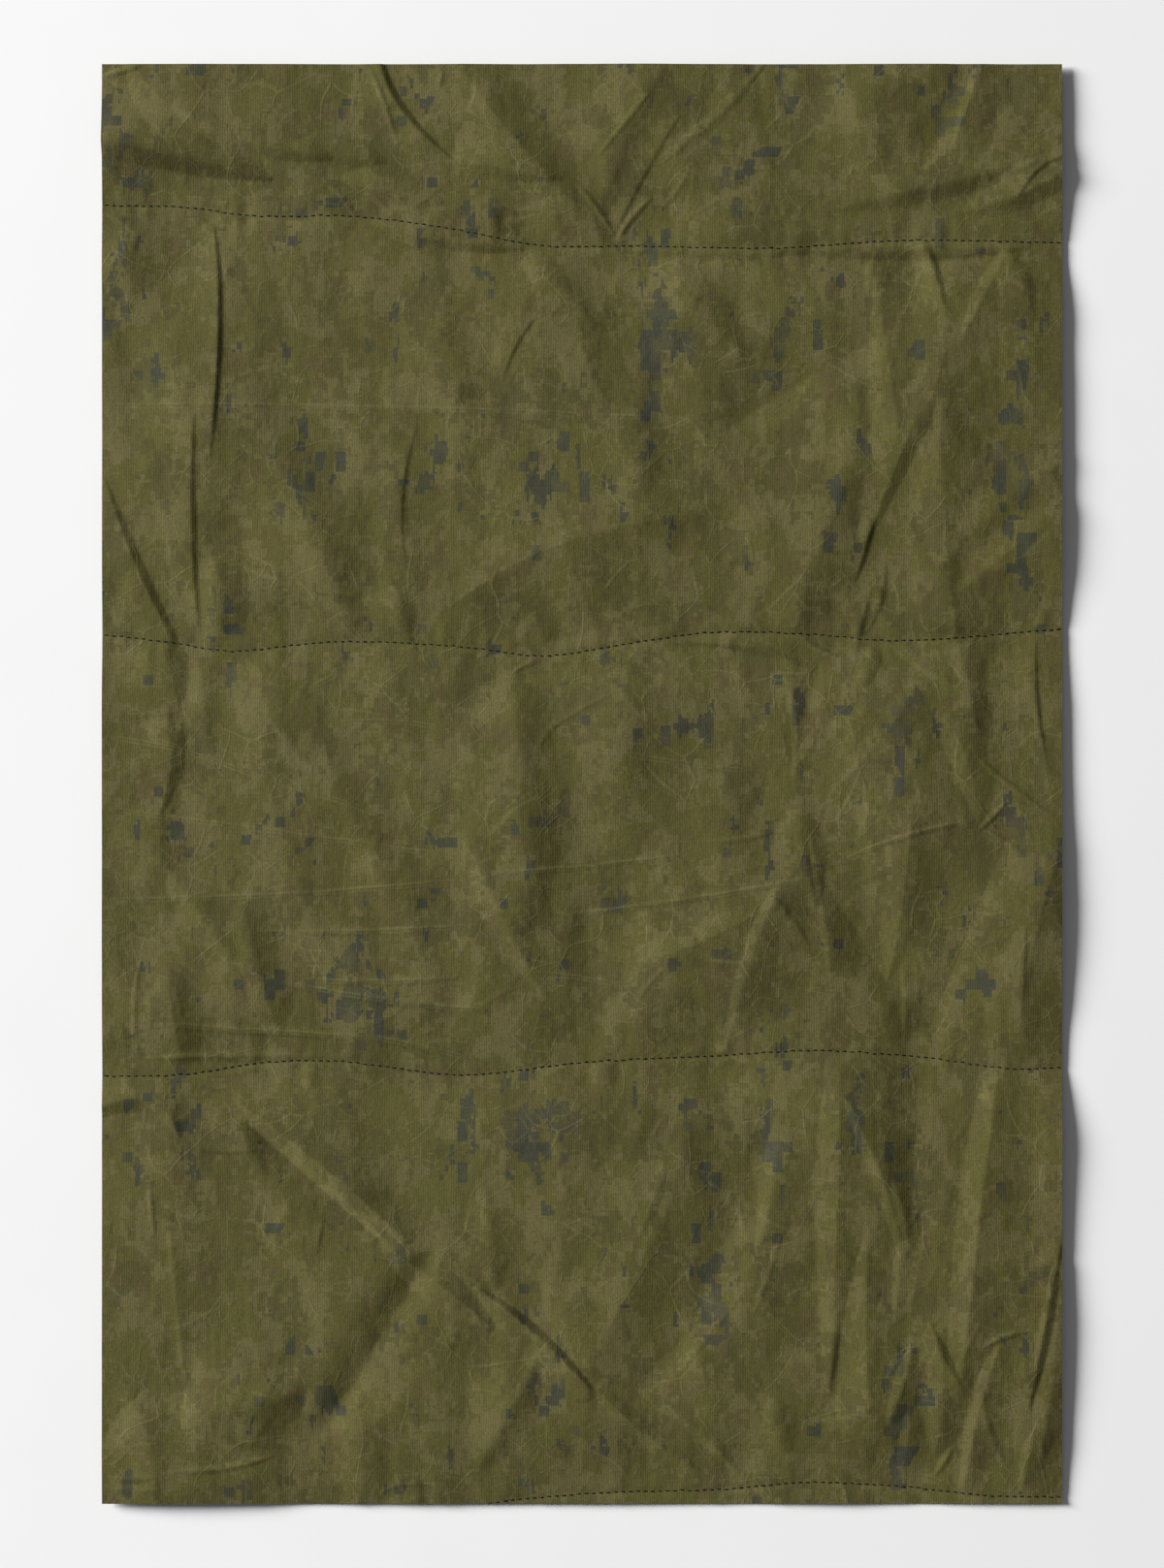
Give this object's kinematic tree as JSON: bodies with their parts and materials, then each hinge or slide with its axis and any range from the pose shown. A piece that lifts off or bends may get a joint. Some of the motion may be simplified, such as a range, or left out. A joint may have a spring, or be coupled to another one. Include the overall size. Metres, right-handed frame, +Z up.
{
  "type": "stitched camouflage cloth",
  "caption": "Cut length of olive digital camouflage cloth with wavy stitched rows, lying face up in its creases and tucks",
  "frame": {"origin": "On the surface that the cloth lies on, under the middle of the sheet", "axes": "+X across the cloth to the right as it is looked at from above, +Y along its length towards the top of the print, +Z up off the surface"},
  "size_m": [0.416, 0.624, 0.0077],
  "materials": {
    "cloth": "satin",
    "thread": "matte"
  },
  "bodies": {
    "root": {"cloth": "cloth"}
  },
  "joints": []
}
